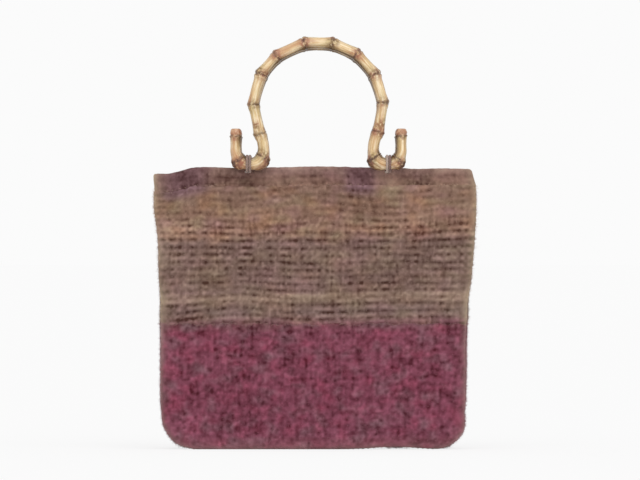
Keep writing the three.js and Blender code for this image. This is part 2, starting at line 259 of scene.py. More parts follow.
def felt_relief(along, up, looped, seed, crisp=0.8):
    """The height of felted knitting in millimetres, and its tone: above 0 on the hairy tops of the
    stitches, which are painted paler as pale hair with painted light on it, below 0 in the hollows,
    which are painted darker as shade, with the yarn's own mottling besides. Rows run along, and
    `crisp` is how clearly they show; where `looped` is 1 the yarn is a curly bouclé that hides
    them."""

    def mottle(length, height, number):
        """Random hills of this length and height in millimetres."""
        return noise(along / length, up / height, seed + number)

    row = up / row_pitch + 0.09 * mottle(26, 30, 0) + 0.55 * mottle(75, 60, 15)
    line, course = np.round(row), np.floor(row)
    uneven = 1 + 0.5 * mottle(19, 15, 1)
    broken = np.clip(0.36 + 1.15 * noise(along / 3.2, line * 0.7, seed + 2), 0, 1.3)
    gap = hill((row - line) * row_pitch, 0, 1.9) * broken * uneven
    ripple = np.cos(2 * np.pi * row) * (0.3 + 0.5 * mottle(3.6, 15, 17)) * uneven
    dash = np.clip(1.1 * noise(along / 3.6, course * 5.13, seed + 3), 0, 1)
    dash *= hill((row - course - 0.5) * row_pitch, 0, 1.2)
    stitch = along / stitch_pitch + 0.6 * mottle(30, 18, 4)
    nearest = np.round(stitch)
    pinch = np.clip(0.3 + 1.1 * noise(nearest * 3.7, up / 9, seed + 5), 0, 1)
    pinch *= hill((stitch - nearest) * stitch_pitch, 0, 1.4)
    fine, grain, ribs = mottle(2.4, 2.1, 6), mottle(5.0, 2.9, 7), mottle(2.2, 12, 16)
    spots = np.clip(mottle(2.6, 2.6, 8) - 0.25, 0, 1)
    turned = (along * 0.8 + up * 0.6) / loop_size, (up * 0.8 - along * 0.6) / loop_size
    loops = mottle(loop_size, loop_size, 9) + noise(*turned, seed + 10)
    streak = noise(along / 34, course * 5.3, seed + 11)
    slow = mottle(15, 13, 12)
    # a tone below 0 is painted shade in the row gaps, dashes and pinches; above 0 it is pale hair
    # with painted light on the stitch tops; the rest is the yarn's own mottling
    plain = 0.05 - crisp * (ripple + 0.55 * gap) - 0.3 * dash - 0.6 * pinch + 0.4 * fine
    plain += 0.4 * grain + 0.4 * ribs + 1.5 * spots + 0.35 * streak + 0.15 * slow
    curly = 0.56 * loops - 0.45 * gap - 0.35 * pinch + 0.4 * fine + 0.45 * ribs
    curly += 0.4 * grain + 0.15 * streak + spots + 0.3 * slow
    tone = plain * (1 - looped) + curly * looped
    return relief_depth * tone + 0.6 * mottle(70, 55, 13), tone


# How the bag has settled. An edge creeps to the right by an amount, at a height and over a
# reach. A pair is where a slope starts and how far it runs, or where a hill is and its reach.
edge_half = 160.0
lean, squeeze, lean_run = -1.3, -0.0045, 60
edge_creep = ((LEFT, 2.0, 208, 24), (RIGHT, -1.4, 150, 14), (LEFT, 1.3, 34, 10),
              (RIGHT, -1.3, 34, 10), (RIGHT, 1.0, 246, 26))
foot_creep, foot_up, foot_across = -1.2, (6, 5), (90, 60)
left_draw, draw_from, draw_to, draw_run = 1.2, 132, 248, 22
corner_droop, droop_across, droop_up = 6.5, (116, 32), (200, 70)
base_lift, lift_across, lift_height = 2.5, (82, 30), 60
least_height = 0.05


def settle(points):
    """The hand-made bag stands slightly askew: its lower part to the left, its left edge
    drawn in below the mouth, its right edge swollen there, its left top corner drooping,
    and its bottom edge a little off the floor on the right."""
    x, z = points[..., 0], points[..., 2]
    shift = (lean + squeeze * x) * (1 - ramp(z, flare_start, lean_run))
    for side, amount, height, reach in edge_creep:
        shift += amount * hill(z, height, reach) * smooth(side * x / edge_half)
    drawn = ramp(z, draw_from, draw_run) * ramp(-z, -draw_to, draw_run)
    shift += left_draw * drawn * smooth(-x / edge_half)
    shift += foot_creep * hill(z, *foot_up) * ramp(abs(x), *foot_across)
    droop = corner_droop * ramp(-x, *droop_across) * ramp(z, *droop_up)
    lift = base_lift * hill(x, *lift_across) * (1 - smooth(z / lift_height))
    moved = points.copy()
    moved[..., 0] = x + shift
    moved[..., 2] = np.maximum(z - droop + lift, least_height)
    return moved


def numbered(grid):
    """The numbers of a grid's points, in the grid's shape."""
    return np.arange(grid[..., 0].size).reshape(grid.shape[:-1])


def grid_faces(index):
    """Four-cornered faces between the rows and columns of numbered points."""
    low, high = index[..., :-1, :], index[..., 1:, :]
    corners = low[..., :-1], low[..., 1:], high[..., 1:], high[..., :-1]
    return np.stack(corners, axis=-1).reshape(-1, 4)


def make_piece(name, points, faces, material, marks=None, caps=()):
    """A mesh object from points in millimetres, with its faces turned outwards."""
    a, b, c, d = (points[faces] - points.mean(axis=0)).swapaxes(0, 1)
    volume = np.sum(a * (np.cross(b, c) + np.cross(c, d)))
    all_faces = faces.tolist() + list(caps)
    if volume < 0:
        all_faces = [face[::-1] for face in all_faces]
    mesh = bpy.data.meshes.new(name)
    mesh.from_pydata((points * MM).tolist(), [], all_faces)
    for mark, values in (marks or {}).items():
        vector = values.size > len(points)
        attribute = mesh.attributes.new(mark, "FLOAT_VECTOR" if vector else "FLOAT", "POINT")
        values = values.astype(np.float32).ravel()
        attribute.data.foreach_set("vector" if vector else "value", values)
    mesh.materials.append(material)
    mesh.shade_smooth()
    mesh.set_sharp_from_angle(angle=sharp_edge)
    return put_in_scene(name, mesh)


inner_share = {"tone": 1.0, "rim": 0.35, "violet": 1.0}


def felt_plate(name, outer, inner, marks, material):
    """A closed sheet of felt between an outer and an inner grid of points."""
    outside = numbered(outer)
    inside = outside + outside.size

    def rim(index):
        return np.concatenate([index[0, :], index[1:, -1], index[-1, -2::-1], index[-2::-1, 0]])

    wall = np.stack([rim(inside), rim(outside)])
    faces = np.concatenate([grid_faces(outside), grid_faces(inside)[:, ::-1], grid_faces(wall)])
    points = np.concatenate([outer.reshape(-1, 3), inner.reshape(-1, 3)])
    both = {mark: np.concatenate([values, inner_share[mark] * values])
            for mark, values in marks.items()}
    return make_piece(name, points, faces, material, both)


yarn_wobble = 1.6
yarn_wobble_reach = 12.0
tan_stripe, tan_stripe_half = 151.3, 3.0
paler_from, calmer_from, mouth_from, change_run = 208.0, 222.0, 250.0, 12.0
plain_haze_and_light, curly_haze_and_light = 5.0, 3.4
mouth_shades = ((-1.15, -131, 26), (-0.85, -76, 26), (-0.4, 16, 16), (-1.0, 45, 14),
                (0.3, 72, 12), (-0.8, 102, 17), (0.3, 140, 22))
violet_places = ((0.9, -131, 24), (0.9, 45, 16))
patch_edge = 4


def rim_haze_and_light(distance, along, up, looped, seed):
    """How hairy the felt is and how much painted light lies on it where it turns away: most at its
    rims, and patchy.
    """
    reach = curly_haze_and_light if looped else plain_haze_and_light
    hairy = 0.6 * np.exp(-distance / 1.5) + 0.75 * np.exp(-distance / reach)
    return hairy * (1 + 0.6 * noise(along / 14, up / 17, seed + 14))


def panel(name, face, levels, looped, material, seed):
    z = levels[:, None]
    left, right = edge_x(LEFT, z), edge_x(RIGHT, z)
    share = np.linspace(0, 1, round(2 * straight_half / grid_step))[None, 1:-1]
    from_x, to_x = left + near_rim[-1], right - near_rim[-1]
    middle = from_x + (to_x - from_x) * share
    x = np.concatenate([left + near_rim, middle, right - near_rim[::-1]], axis=1)
    z = np.broadcast_to(z, x.shape).copy()
    near_change = np.clip(1 - abs(z - yarn_change) / yarn_wobble_reach, 0, 1)
    z += yarn_wobble * noise(x / 9, x * 0, 3) * near_change
    knitted = z - row_slope * x
    paler = ramp(z, paler_from, change_run)
    below_mouth = ramp(z, mouth_from, change_run)
    height, tone = felt_relief(x, knitted, looped, seed, 1.2 - 0.05 * paler)
    tone += 0.55 * paler * noise(x / 48, knitted / 14, seed + 18)
    tone *= 1.2 - 0.4 * ramp(z, calmer_from, change_run)
    tone *= 1 - 0.35 * hill(knitted, tan_stripe, tan_stripe_half)
    tone += 0.4 * below_mouth * hills(x, mouth_shades, patch_edge)
    distance, in_x, in_z = rim_distance(x, z)
    bulge = crown * np.maximum(1 - (x / half_width(z)) ** 2, 0) * np.sin(np.pi * z / panel_top)
    relief = height * smooth(distance / relief_fade)
    outer_y = rim_out(z) + bulge - rounded_rim(distance, rim_radius) + relief
    inner_y = rim_out(z) + bulge - felt_thickness + 0.5 * relief
    curl = rim_curl * np.exp(-distance / curl_reach)
    outer = np.stack([x, face * outer_y, z], axis=-1)
    inner = np.stack([x + in_x * curl, face * inner_y, z + in_z * curl], axis=-1)
    marks = {"tone": tone, "rim": rim_haze_and_light(distance, x, z, looped, seed),
             "violet": below_mouth * hills(x, violet_places, patch_edge)}
    piece = felt_plate(name, settle(outer), settle(inner), marks, material)
    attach(piece, "bag")
    return piece


yarn_wander = 8.0
yarn_drift = (34, 34, 9)
yarn_colours = (
    (0, "#783E4B"), (14, "#73394A"), (54, "#6F3445"), (117, "#713747"), (125, "#6A3F46"),
    (133, "#765C54"), (138, "#6A534C"), (146, "#6C5449"), (150, "#836A5B"), (153, "#836A5B"),
    (158, "#6F564D"), (174, "#6D544B"), (198, "#72594F"), (207, "#6E554C"), (219, "#856454"),
    (228, "#866656"), (240, "#806150"), (255, "#7A5D4E"), (262, "#826455"), (271, "#7C5E53"),
    (279, "#866A60"))
tint_from, tint_to = 203.0, 215.0
drift_from, drift_to = 0.48, 0.75
violet_stain = "#7A5A5E"
hollow_tone, hair_tone = -1.85, 2.1
tuft_size = 2.0
haze_and_light_share = 0.38
fibre_size = 1.2


def felted_wool(name, tints, patch, tuft, hollow_painted_shade, lit_hair_shade, haze_and_light_colour):
    """Felted wool: a matt cloth whose loose surface hairs catch the light at its edges. Its
    yarn changes colour with height, each row wandering a little, and tints drift through it
    in patches of about the given size in mm, each with its share below and above the row
    where the stripes turn paler. `tuft` is how strongly its tufts of hair show."""
    material = bpy.data.materials.new(name)
    tree = new_tree(material)
    place = add(tree, "TexCoord").outputs["Object"]
    mm = add(tree, "VectorMath", {0: place, "Scale": 1 / MM}, operation="SCALE")
    height = add(tree, "VectorMath", {0: mm, 1: (-row_slope, 0, 1)},
                 operation="DOT_PRODUCT").outputs["Value"]
    tone, rim, violet = (add(tree, "Attribute", attribute_name=mark).outputs["Fac"]
                         for mark in ("tone", "rim", "violet"))

    # the yarn's colour at this height, drawn out along the rows
    drawn_out = add(tree, "VectorMath", {0: mm, 1: [1 / size for size in yarn_drift]},
                    operation="MULTIPLY")
    wander = add(tree, "TexNoise", {"Vector": drawn_out, "Scale": 1, "Detail": 2})
    level = add(tree, "Math", {0: wander, 1: yarn_wander, 2: height}, operation="MULTIPLY_ADD")
    level = add(tree, "MapRange", {"Value": level, "From Min": yarn_wander / 2,
                                   "From Max": bag_height + yarn_wander / 2})
    colour = add(tree, "ValToRGB", {"Fac": level})
    stops = colour.color_ramp.elements
    for i, (at, yarn) in enumerate(yarn_colours):
        stop = stops[i] if i < 2 else stops.new(1)
        stop.position = at / bag_height
        stop.color = linear(yarn)
    for k, (tint, below, above) in enumerate(tints):
        share = add(tree, "MapRange", {"Value": height, "From Min": tint_from,
                                       "From Max": tint_to, "To Min": below, "To Max": above})
        moved = add(tree, "VectorMath",
                    {0: mm, 1: [1 / size for size in patch], 2: (31 * k + 7, 5, 3)},
                    operation="MULTIPLY_ADD")
        drift = add(tree, "TexNoise", {"Vector": moved, "Scale": 1, "Detail": 1})
        amount = add(tree, "MapRange", {"Value": drift, "From Min": drift_from,
                                        "From Max": drift_to, "To Max": share})
        colour = add(tree, "Mix", {0: amount, 6: colour, 7: linear(tint)},
                     data_type="RGBA").outputs[2]
    colour = add(tree, "Mix", {0: violet, 6: colour, 7: linear(violet_stain)},
                 data_type="RGBA").outputs[2]

    # painted warm shade in the hollows, paler hairs on the tops of the stitches with painted light
    # on them, and at the rims a paler haze of hair with painted light where the felt turns away;
    # single hairs are far finer, so they show as tufts of about 2 mm
    tufts = add(tree, "TexNoise", {"Vector": mm, "Scale": 1 / tuft_size, "Detail": 2})
    raised = add(tree, "Math", {0: tufts, 1: tuft, 2: tone}, operation="MULTIPLY_ADD")
    raised = add(tree, "MapRange", {"Value": raised, "From Min": tuft / 2 + hollow_tone,
                                    "From Max": tuft / 2 + hair_tone})
    shade = add(tree, "Mix", {0: raised, 6: (*hollow_painted_shade, 1), 7: (*lit_hair_shade, 1)},
                data_type="RGBA").outputs[2]
    colour = add(tree, "VectorMath", {0: colour, 1: shade}, operation="MULTIPLY")
    # the rims are painted paler, as hair haze with painted light on it
    hazy_and_lit = add(tree, "Math", {0: rim, 1: haze_and_light_share}, operation="MULTIPLY", use_clamp=True)
    colour = add(tree, "Mix", {0: hazy_and_lit, 6: colour, 7: linear(haze_and_light_colour)},
                 data_type="RGBA").outputs[2]

    fibres = add(tree, "TexNoise", {"Vector": mm, "Scale": 1 / fibre_size, "Detail": 2})
    bump = add(tree, "Bump", {"Height": fibres, "Strength": 0.4, "Distance": 0.6 * MM})
    shader = add(tree, "BsdfPrincipled",
                 {"Base Color": colour, "Roughness": 0.95, "Specular IOR Level": 0.1,
                  "Sheen Weight": 0.35, "Sheen Roughness": 0.5, "Sheen Tint": linear("#F0DCCB"),
                  "Normal": bump})
    add(tree, "OutputMaterial", {"Surface": shader})
    return material


brown_felt = felted_wool("felted_brown_wool",
                         (("#887A5A", 0.2, 0.4), ("#906468", 0.16, 0.35), ("#94653F", 0.1, 0.35)),
                         (30, 30, 18), 0.9, (0.345, 0.25, 0.23), (1.9, 2.12, 2.28), "#C6B397")
burgundy_felt = felted_wool("felted_burgundy_wool", (("#903850", 0.4, 0), ("#70555C", 0.45, 0)),
                            (19, 19, 15), 1.3, (0.42, 0.225, 0.28), (1.84, 2.42, 2.22), "#B3908D")

row_steps = round(yarn_change / grid_step)
lower_levels = np.concatenate([near_rim, np.linspace(near_rim[-1], yarn_change, row_steps)[1:]])
felt_top = panel_top + under_band
upper_levels = np.linspace(yarn_change, felt_top, round((felt_top - yarn_change) / grid_step))
felt_pieces = []
for word, face, seed in (("front", FRONT, 20), ("back", BACK, 60)):
    lower = panel(f"{word}_burgundy_panel", face, lower_levels, 1.0, burgundy_felt, seed)
    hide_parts(f"{word}_panel_lower")
    upper = panel(f"{word}_brown_panel", face, upper_levels, 0.0, brown_felt, seed)
    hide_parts(f"{word}_panel_upper")
    felt_pieces += [lower, upper]


# Gusset
# One strip of the same felt runs down the left side, under the base and up the right side, and
# is sewn to both panels. Towards the mouth it tucks in between them, as an empty bag's does.
gusset_clear = 0.3
gusset_rim_radius = 3.5
gusset_relief_fade = 5.0
tuck_depth = 11.0
tuck_start = 120.0


def tuck(y, z):
    """How far the bag's sides draw inwards at this depth and height."""
    share = np.cos(np.clip(np.pi * y / (2 * rim_out(z)), -np.pi / 2, np.pi / 2)) ** 2
    return tuck_depth * ramp(z, tuck_start, panel_top - tuck_start) * share


def stations(start, end, radius=1):
    """Values from start to end, a grid step apart; an angle's step is taken at a radius."""
    return np.linspace(start, end, round((end - start) * radius / grid_step) + 1)


def straight_run(side, low, high):
    """Points up one side, as rows of x, z and the way (x, z) that leads inwards."""
    z = stations(low, high)
    return np.stack([edge_x(side, z), z, 0 * z - side, 0 * z], axis=1)


def corner_run(side):
    radius = corner_radius[side]
    turn = stations(0, math.pi / 2, radius)
    across, down = side * np.sin(turn), -np.cos(turn)
    x, z = corner_centre(side) + radius * across, radius + radius * down
    return np.stack([x, z, -across, -down], axis=1)


def base_run():
    x = stations(corner_centre(LEFT), corner_centre(RIGHT))
    return np.stack([x, 0 * x, 0 * x, 0 * x + 1], axis=1)


def round_the_bag(top):
    """Down the left side from a height, under the base and up the right side. Two runs share
    their end point."""
    left, right = (straight_run(side, corner_radius[side], top) for side in (LEFT, RIGHT))
    runs = left[::-1], corner_run(LEFT)[::-1], base_run(), corner_run(RIGHT), right
    return np.concatenate([left[-1:]] + [run[1:] for run in runs])


def travelled(points):
    """How far along a line each of its points is."""
    return np.concatenate([[0], np.cumsum(np.linalg.norm(np.diff(points, axis=0), axis=1))])


def gusset_strip(name, run, looped, material, seed):
    x, z, in_x, in_z = run.T[..., None]
    half = rim_out(z) - felt_thickness - gusset_clear
    inset = near_rim[:-1]
    share = np.linspace(-1, 1, round(2 * half.max() / grid_step))[None, 1:-1]
    y = np.concatenate([-half + inset, (half - inset[-1]) * share, half - inset[::-1]], axis=1)
    along_strip = np.broadcast_to(travelled(run[:, :2])[:, None], y.shape)
    height, tone = felt_relief(y, along_strip, looped, seed)
    distance = half - abs(y)
    drawn = tuck(y, z)
    relief = height * smooth(distance / gusset_relief_fade)

    def layer(depth):
        return np.stack([x + in_x * depth, y, z + in_z * depth], axis=-1)

    outer = settle(layer(rounded_rim(distance, gusset_rim_radius) + drawn - relief))
    inner = settle(layer(felt_thickness + drawn - 0.5 * relief))
    marks = {"tone": tone, "rim": rim_haze_and_light(distance, y, along_strip, looped, seed)}
    piece = felt_plate(name, outer, inner, marks, material)
    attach(piece, "bag")
    return piece


piece = gusset_strip("burgundy_gusset", round_the_bag(yarn_change), 1.0, burgundy_felt, 100)
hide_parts("gusset_lower")
felt_pieces.append(piece)
for word, side in (("left", LEFT), ("right", RIGHT)):
    run = straight_run(side, yarn_change, felt_top)
    piece = gusset_strip(f"{word}_brown_gusset", run, 0.0, brown_felt, 120 + 20 * side)
    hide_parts(f"gusset_{word}_upper")
    felt_pieces.append(piece)


# Mouth band
# The last rows are folded over and felted down into a smooth, dense band with a soft round
# top edge. Its yarn is the purple brown that the panels' brown runs into, with darker and more
# violet patches. Its short ends follow the gusset inwards.
band_height = 19.5
band_thickness = 6.7
band_proud = 0.5
band_taper = {LEFT: (0.0, -1.8), RIGHT: (-1.5, 3.5)}
band_corner = 6.0
least_corner = 0.8
band_foot = bag_height - band_height
foot_round = 1.2
crest_steps = 11
long_steps, short_steps, corner_steps = 290, 46, 9
crown_rise, crown_half = 0.9, 48
right_dip, right_dip_from, right_dip_run = 1.2, 78, 22
crest_from, crest_run = 276.5, 4


def band_section():
    """The band's cut face as (depth from its outer face, height) pairs, all round."""
    fold = band_thickness / 2
    top = bag_height - fold
    rise = np.linspace(band_foot + foot_round, top, round((top - band_foot) / grid_step))
    outer = [(0, z) for z in rise[:-1]]
    turns = np.linspace(math.pi, 0, crest_steps)
    crest = [(fold + fold * math.cos(a), top + fold * math.sin(a)) for a in turns]
    inner = [(band_thickness, z) for z in rise[-2::-1]]
    foot = [(0.3 * foot_round, band_foot + 0.3 * foot_round), (foot_round, band_foot)]
    inner_foot = [(band_thickness - depth, z) for depth, z in foot]
    return outer + crest + inner + inner_foot + foot[::-1]


def mouth_ring(depth, z):
    """The band's plan at one depth from its outer face: front, right end, back, left end."""
    half_x = half_width(band_foot) + band_proud - depth
    half_y = mouth_depth / 2 + band_proud - depth
    radius = max(band_corner - depth, least_corner)
    flat_x, flat_y = half_x - radius, half_y - radius
    turn = np.linspace(0, math.pi / 2, corner_steps)[1:-1]
    sine, cosine = radius * np.sin(turn), radius * np.cos(turn)
    x = np.concatenate([np.linspace(-flat_x, flat_x, long_steps), flat_x + sine,
                        np.full(short_steps, half_x), flat_x + cosine])
    y = np.concatenate([np.full(long_steps, -half_y), -flat_y - cosine,
                        np.linspace(-flat_y, flat_y, short_steps), flat_y + sine])
    x, y = np.concatenate([x, -x]), np.concatenate([y, -y])
    heights = (band_foot, bag_height)
    taper = np.where(x < 0, *(np.interp(z, heights, band_taper[side]) for side in (LEFT, RIGHT)))
    return x * (1 - taper / half_x), y


def band_grid():
    rows = []
    for depth, z in band_section():
        x, y = mouth_ring(depth, z)
        drawn = tuck(y, np.full_like(y, panel_top)) * (x / half_width(band_foot)) ** 2
        rows.append(np.stack([x - np.sign(x) * drawn, y, np.full_like(x, z)], axis=1))
    return np.array(rows)


def felted_band(points):
    """The band's points with its felt worked in and its edges gone wavy, and their marks."""
    step = np.diff(points, axis=1, append=points[:, :1])
    travel = np.cumsum(np.linalg.norm(step, axis=2), axis=1)
    rows = np.diff(points, axis=0, prepend=points[:1])
    girth = np.cumsum(np.linalg.norm(rows, axis=2), axis=0)
    outward = unit(np.cross(step, np.roll(points, -1, 0) - np.roll(points, 1, 0)))
    # a point low on the band's front, where outwards is towards -Y
    outward = -np.sign(outward[3, 100, 1]) * outward
    from_foot = (points[..., 2] - band_foot) / band_height
    height, tone = felt_relief(travel, points[..., 2], 0.0, 200)
    knitted = 0.95 - 0.45 * smooth(from_foot)
    lumps = 0.5 * noise(travel / 7, girth / 5, 201) + 0.5 * noise(travel / 3.1, girth / 2.8, 202)
    hollows = 0.35 * (lumps - 1) + 0.45 * knitted * np.minimum(height, 0.6) - 0.3
    points += outward * hollows[..., None]
    x = points[..., 0]
    top_edge = crown_rise * hill(x, 0, crown_half)
    top_edge -= right_dip * ramp(x, right_dip_from, right_dip_run)
    top_edge += 0.5 * noise(travel / 26, travel * 0, 203) - 0.2
    foot_edge = 1.0 + 1.3 * noise(travel / 10, travel * 0, 205)
    points[..., 2] += top_edge * smooth(from_foot) - foot_edge * (1 - smooth(2.5 * from_foot))
    crest = ramp(points[..., 2], crest_from, crest_run)
    shades = hills(x, mouth_shades, patch_edge)
    # the crest is painted lighter: partly paler hair along the fold, partly painted light falling
    # on the top
    tone = 0.9 * knitted * tone + shades * (1 + 0.2 * crest) + 0.35 * crest
    tone += 0.4 * lumps + 0.5 * noise(travel / 13, girth / 8, 204) - 0.05
    to_end = half_width(band_foot) - abs(x)
    # the band's ends get the same hair haze with painted light, a little stronger
    rim = 1.2 * rim_haze_and_light(to_end, points[..., 1], x, 0.0, 206)
    return points, {"tone": tone, "rim": rim, "violet": hills(x, violet_places, patch_edge)}


band_felt = felted_wool("felted_band_wool", (("#7A6A58", 0, 0.4), ("#8A5F66", 0, 0.3)),
                        (30, 30, 16), 0.9, (0.34, 0.25, 0.25), (1.95, 2.08, 2.12), "#C6B397")
band_points, band_marks = felted_band(band_grid())
# the last row and column of the ring join the first ones
closed_ring = np.pad(numbered(band_points), (0, 1), mode="wrap")
mouth_band = make_piece("felt_mouth_band", settle(band_points).reshape(-1, 3),
                        grid_faces(closed_ring), band_felt, band_marks)
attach(mouth_band, "bag")
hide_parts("mouth_band")


# Loose fibres
# Felting leaves single wool hairs standing off the cloth, most of them along its rims and
# sides, where they blur the outline; under the base they are pressed flat. A hair is drawn
# 0.25 mm thick, coarser than real, so that it shows.
fibre_radius = 0.125
fibre_taper = np.array([1.0, 1.0, 0.9, 0.4])
fibre_sides = 3
fibre_length = 3.4
fibre_root = 0.3
fibre_bend = 0.35
fibre_lift = 0.45
fibre_share = 0.05
rim_fibre_share = 0.6
rim_fibre_lift = 2.2
handle_shift = 4.0
hooks_out = 69.0
clear_of_cane = 24.0
cane_from = 250.0
base_reach = 2.5
facing = 0.8
above_floor = 0.2


def all_round(sides):
    return np.arange(sides) * 2 * math.pi / sides


def spokes(u, v, sides):
    """The ways from a tube's middle line to its corners, in the plane of u and v."""
    turn = all_round(sides)[:, None]
    return np.cos(turn) * u[:, None] + np.sin(turn) * v[:, None]


def tubes_piece(name, tubes, material, marks=None):
    """Tubes of equally many rings as one object, each closed by a cap at both ends."""
    index = numbered(tubes)
    faces = grid_faces(np.concatenate([index, index[..., :1]], axis=2))
    caps = index[:, 0, ::-1].tolist() + index[:, -1].tolist()
    return make_piece(name, tubes.reshape(-1, 3), faces, material, marks, caps)


def fibres_on(piece, seed):
    """Short curved hairs rooted in a felt piece, as one object of closed tubes."""
    rng = np.random.default_rng(seed)
    mesh = piece.data
    count = len(mesh.vertices)
    places, normals = np.empty(3 * count), np.empty(3 * count)
    mesh.vertices.foreach_get("co", places)
    mesh.vertex_normals.foreach_get("vector", normals)
    places, normals = places.reshape(-1, 3) / MM, normals.reshape(-1, 3)
    x, z = places[:, 0], places[:, 2]
    outside = np.arange(count) < count / 2
    at_rim = outside & (abs(normals[:, 1]) < facing)
    under_cane = (abs(abs(x - handle_shift) - hooks_out) < clear_of_cane) & (z > cane_from)
    pressed_flat = (normals[:, 2] < -facing) & (z < base_reach)
    chance = np.where(at_rim, rim_fibre_share, fibre_share)
    chance *= outside & ~under_cane & ~pressed_flat
    rooted = rng.random(count) < chance
    root, normal, at_rim = places[rooted], normals[rooted], at_rim[rooted]
    each = (len(root), 1)
    length = fibre_length * (0.4 + 0.6 * rng.random(each)) * rng.choice([0.7, 1, 1.3], each)
    along = unit(rng.normal(size=root.shape))
    along = unit(along - np.sum(along * normal, axis=1, keepdims=True) * normal)
    lift = fibre_lift * np.where(at_rim, rim_fibre_lift, 1.0)[:, None]
    heading = unit(along + lift * rng.uniform(0.3, 1.2, each) * normal)
    curl = unit(np.cross(heading, rng.normal(size=root.shape)))
    path = [root - fibre_root * normal]
    path += [root + (heading * share + curl * share**2 * fibre_bend) * length
             for share in (0.25, 0.6, 0.95)]
    path = np.stack(path, axis=1)
    path[..., 2] = np.maximum(path[..., 2], above_floor)
    u = unit(np.cross(heading, curl + 0.3))
    spoke = spokes(u, np.cross(heading, u), fibre_sides)[:, None]
    rings = path[:, :, None] + fibre_radius * fibre_taper[None, :, None, None] * spoke
    each_point = 0 * rings[..., 0]
    # a hair's tone is mostly above 0, so it takes the pale hair colour with its painted light
    tone = rng.normal(1.1, 0.5, (len(root), 1, 1)) + each_point
    # hairs at the rims take more of the rims' hair haze and painted light
    rim = np.where(at_rim, 0.8, 0.2)[:, None, None] + each_point
    hairs = tubes_piece(f"{piece.name}_fibres", rings, mesh.materials[0],
                        {"tone": tone, "rim": rim})
    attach(hairs, "bag")


for seed, piece in enumerate(felt_pieces, 400):
    fibres_on(piece, seed)


# Seam stitches
# Wool yarn whipped over the join between each panel and the gusset, a slanting stitch every
# 5 mm down one side, under the base and up the other. Felting has pulled them half under.
seam_top = panel_top - 2
first_stitch, last_stitch = 4, 3
stitch_spacing = 5.0
stitch_jitter = 0.35
stitch_radius = 0.8
stitch_slant = 1.1
stitch_sides = 8
stitch_across = np.array([-3.2, -1.9, -0.6, 0.6, 1.9, 3.2])
stitch_depth = np.array([2.0, 0.7, 0.35, 0.35, 0.6, 1.9])
stitch_taper = np.array([0.5, 0.9, 1, 1, 0.9, 0.5])


def tube(path, radii, across, sides):
    """Rings of points round a path; across is a direction that the path never runs along."""
    along = unit(np.gradient(path, axis=0))
    u = unit(across - (along @ across)[:, None] * along)
    radii = np.asarray(radii, float).reshape(len(path), -1, 1)
    return path[:, None] + radii * spokes(u, np.cross(along, u), sides)


def wool_yarn(name, dark, light, thread):
    """Plied wool yarn: matt strands with darker hollows between the plies and paler hairs, and
    paler wherever its mark says so."""
    material = bpy.data.materials.new(name)
    tree = new_tree(material)
    place = add(tree, "TexCoord").outputs["Object"]
    mottle = add(tree, "TexNoise", {"Vector": place, "Scale": 1 / (thread * MM), "Detail": 3})
    mixed = add(tree, "MapRange", {"Value": mottle, "From Min": 0.35, "From Max": 0.68})
    pale_share = add(tree, "Attribute", attribute_name="pale_share").outputs["Fac"]
    colour = linear(dark)
    for amount, shade in ((mixed, light), (pale_share, "#D6C6B8")):
        colour = add(tree, "Mix", {0: amount, 6: colour, 7: linear(shade)},
                     data_type="RGBA").outputs[2]
    bump = add(tree, "Bump", {"Height": mottle, "Strength": 0.6, "Distance": 0.4 * MM})
    shader = add(tree, "BsdfPrincipled",
                 {"Base Color": colour, "Roughness": 0.9, "Specular IOR Level": 0.15,
                  "Sheen Weight": 0.3, "Sheen Roughness": 0.5, "Normal": bump})
    add(tree, "OutputMaterial", {"Surface": shader})
    return material


seam_run = round_the_bag(seam_top)
seam_length = travelled(seam_run[:, :2])
seam_wool = wool_yarn("seam_wool_yarn", "#6B4650", "#93726C", 1.6)
stitch_rng = np.random.default_rng(5)


def stitch_tube(face, at):
    """One stitch: out of the gusset, over the join and into the panel's rim."""
    slant = np.linspace(-stitch_slant, stitch_slant, len(stitch_across))
    where = at + slant * (1 + 0.4 * stitch_rng.normal())
    x, z, in_x, in_z = (np.interp(where, seam_length, values) for values in seam_run.T)
    y = rim_out(z) - felt_thickness - gusset_clear / 2 + stitch_across
    path = np.stack([x + in_x * stitch_depth, face * y, z + in_z * stitch_depth], axis=1)
    radii = stitch_radius * (1 + 0.12 * stitch_rng.normal()) * stitch_taper
    sideways = unit(np.cross(path[3] - path[2], [in_x[2], 0, in_z[2]]))
    return tube(path, radii, sideways, stitch_sides)


for word, face in (("front", FRONT), ("back", BACK)):
    places = np.arange(first_stitch, seam_length[-1] - last_stitch, stitch_spacing)
    places += stitch_rng.normal(0, stitch_jitter, len(places))
    stitches = np.array([settle(stitch_tube(face, at)) for at in places])
    piece = tubes_piece(f"{word}_seam_stitches", stitches, seam_wool)
    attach(piece, "bag")
    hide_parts(f"seam_yarn_{word}")


# Bamboo handles
# Each handle is one length of bamboo root, steamed and bent to a horseshoe with its two ends
# turned up as hooks, then varnished. The cane stays almost straight between its knotty
# rings, and bends at them. A handle swings about the middle of its two hook bottoms.
arch_radius = 64.6
waist_inset = 9.6
neck_radius = 38.5
hook_radius = 13.85
tip_height = 35.2
arch_rod, neck_rod, hook_rod, tip_rod = 6.0, 5.3, 6.2, 5.2
swing_height = 285.7
swing_out = 36.9
ring_places = {LEFT: (12.3, 42.6, 66.5, 98.8, 129.0, 152.0, 179.0, 203.4),
               RIGHT: (13.3, 39.6, 67.2, 97.0, 127.0, 152.8, 179.0, 203.8)}
ring_strength = {LEFT: (1.1, 1.2, 1.2, 1.0, 0.4, 0.9, 1.2, 0.9),
                 RIGHT: (1.2, 1.1, 1.2, 0.9, 1.1, 0.9, 1.1, 0.9)}
left_spread, spread_from, spread_to = 1.3, (0, 20), (80, 40)
most_straight, straight_to = 0.85, (100, 20)
between_rings, ring_half = -0.3, 9.0
bend_change = 8.0
tip_round, tip_share = 1.8, 0.72
cane_step = 0.7
cane_sides = 28

